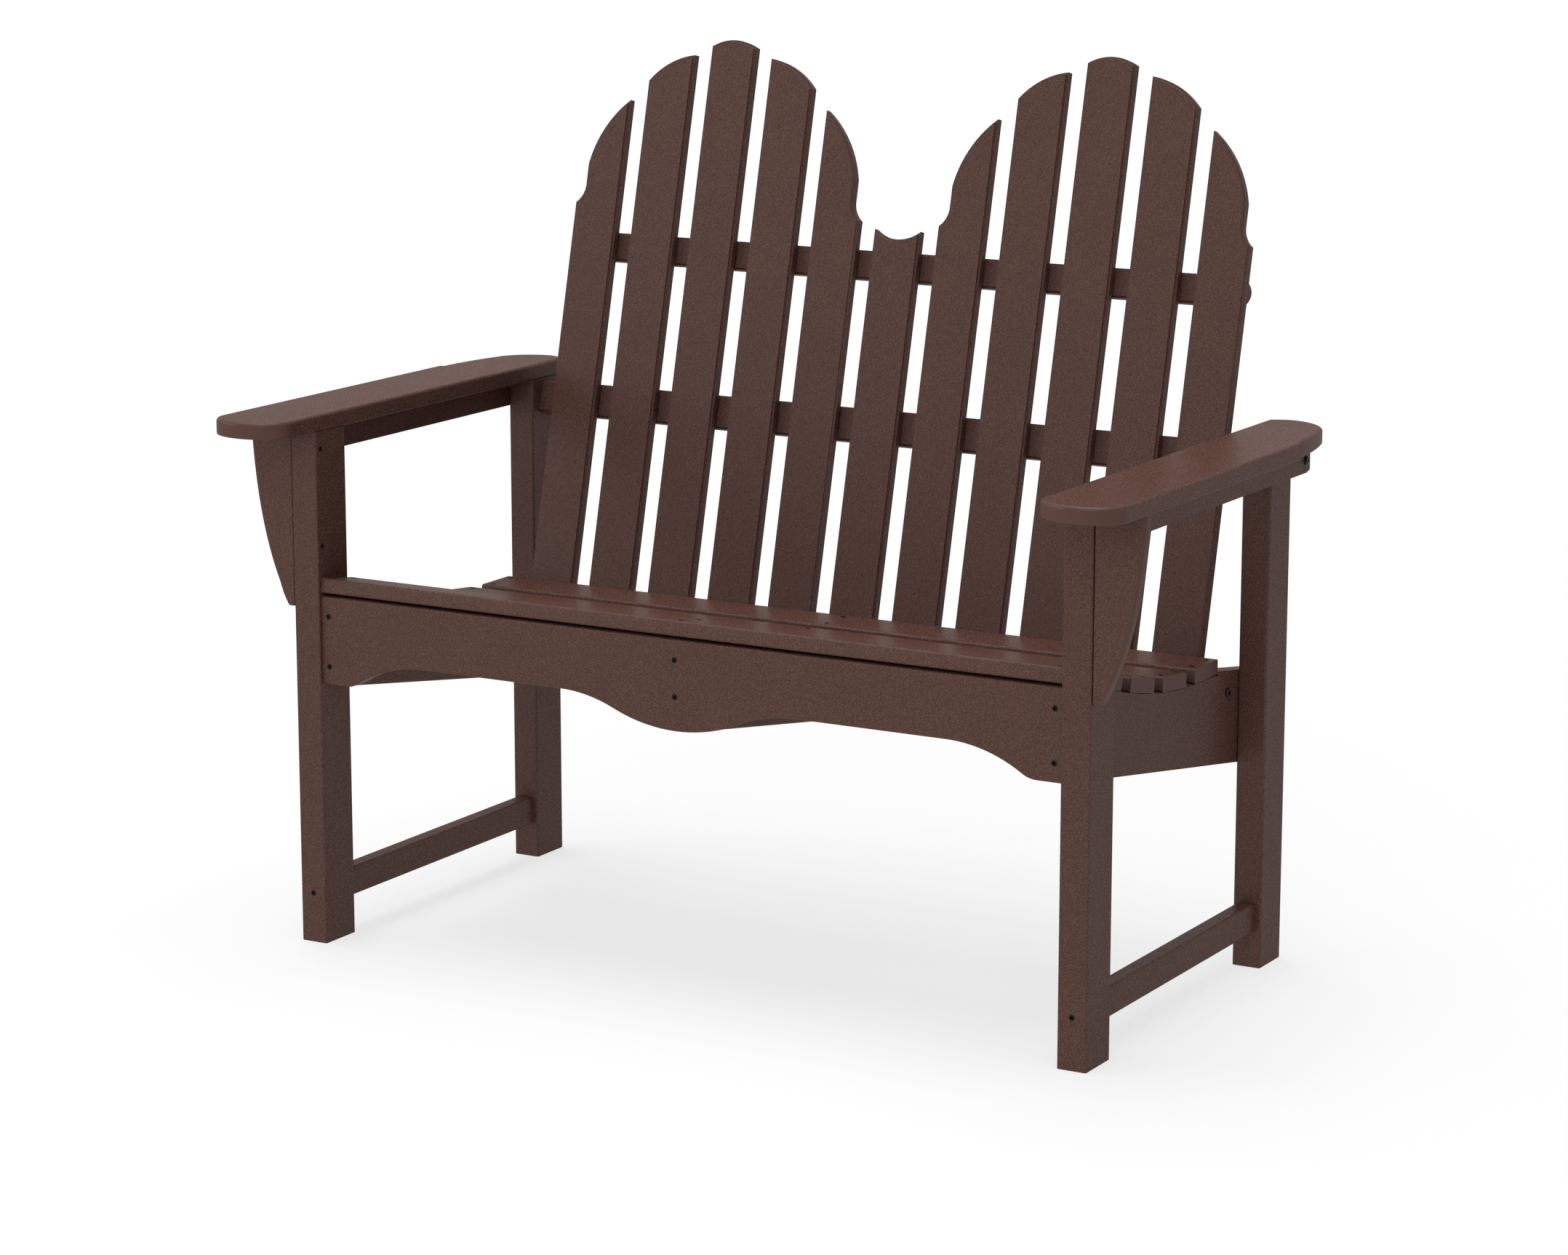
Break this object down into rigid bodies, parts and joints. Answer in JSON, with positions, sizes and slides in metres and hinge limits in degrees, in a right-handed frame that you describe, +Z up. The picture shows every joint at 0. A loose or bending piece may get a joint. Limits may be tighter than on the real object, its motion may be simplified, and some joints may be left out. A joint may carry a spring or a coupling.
{
  "type": "adirondack loveseat",
  "caption": "Adirondack loveseat of solid plastic lumber, with wide arms, a dished slatted seat, a scalloped apron and a tall slatted back with rounded crests.",
  "frame": {"origin": "centre of the overall box's base, on the floor between the legs", "axes": "+X to the right hand of someone who looks at the front, +Y from front to back, +Z up"},
  "size_m": [1.2614, 0.7246, 1.1249],
  "materials": {
    "leg_lumber": "satin, fine grained, dark chocolate brown",
    "arm_lumber": "satin, fine grained, dark chocolate brown",
    "seat_lumber": "satin, fine grained, dark chocolate brown",
    "back_lumber": "satin, fine grained, dark chocolate brown",
    "bolt_steel": "dark coated steel"
  },
  "bodies": {
    "root": {"apron": "seat_lumber", "arm_bolt_left": "bolt_steel", "arm_bolt_right": "bolt_steel", "arm_bracket_left": "arm_lumber", "arm_bracket_right": "arm_lumber", "arm_left": "arm_lumber", "arm_rail_left": "arm_lumber", "arm_rail_right": "arm_lumber", "arm_right": "arm_lumber", "back_rail_bottom": "back_lumber", "back_rail_middle": "back_lumber", "back_rail_top": "back_lumber", "back_slat_01": "back_lumber", "back_slat_02": "back_lumber", "back_slat_03": "back_lumber", "back_slat_04": "back_lumber", "back_slat_05": "back_lumber", "back_slat_06": "back_lumber", "back_slat_07": "back_lumber", "back_slat_08": "back_lumber", "back_slat_09": "back_lumber", "back_slat_10": "back_lumber", "back_slat_11": "back_lumber", "front_leg_left": "leg_lumber", "front_leg_right": "leg_lumber", "middle_joist": "seat_lumber", "rail_bolt_left": "bolt_steel", "rail_bolt_right": "bolt_steel", "rear_leg_left": "leg_lumber", "rear_leg_right": "leg_lumber", "seat_slat_1": "seat_lumber", "seat_slat_2": "seat_lumber", "seat_slat_3": "seat_lumber", "seat_slat_4": "seat_lumber", "seat_slat_5": "seat_lumber", "side_rail_left": "seat_lumber", "side_rail_right": "seat_lumber", "side_stretcher_left": "leg_lumber", "side_stretcher_right": "leg_lumber"}
  },
  "joints": []
}
